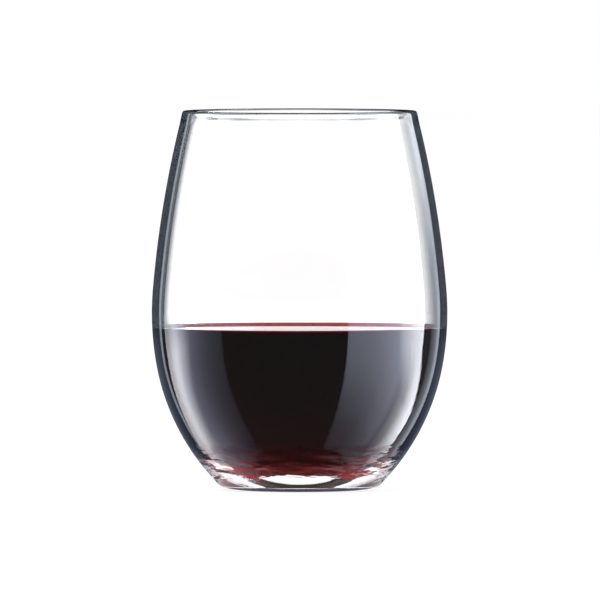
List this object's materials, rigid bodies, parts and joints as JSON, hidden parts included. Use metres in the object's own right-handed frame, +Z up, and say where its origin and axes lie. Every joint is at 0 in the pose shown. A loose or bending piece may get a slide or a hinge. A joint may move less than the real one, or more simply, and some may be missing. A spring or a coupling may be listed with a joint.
{
  "type": "stemless wine glass",
  "caption": "Stemless wine glass: clear tapered bowl with a rounded belly, fire-polished rim and thick foot, holding a pour of red wine.",
  "frame": {"origin": "centre of the resting plane, under the middle of the foot", "axes": "+Z up along the axis of the glass, from the foot to the mouth; the glass is turned, so X and Y are free"},
  "size_m": [0.089, 0.089, 0.1144],
  "materials": {
    "clear_glass": "clear soda-lime glass, fire polished",
    "red_wine": "still liquid, deep red and nearly opaque"
  },
  "bodies": {
    "root": {"glass_vessel": "clear_glass", "red_wine": "red_wine"}
  },
  "joints": []
}
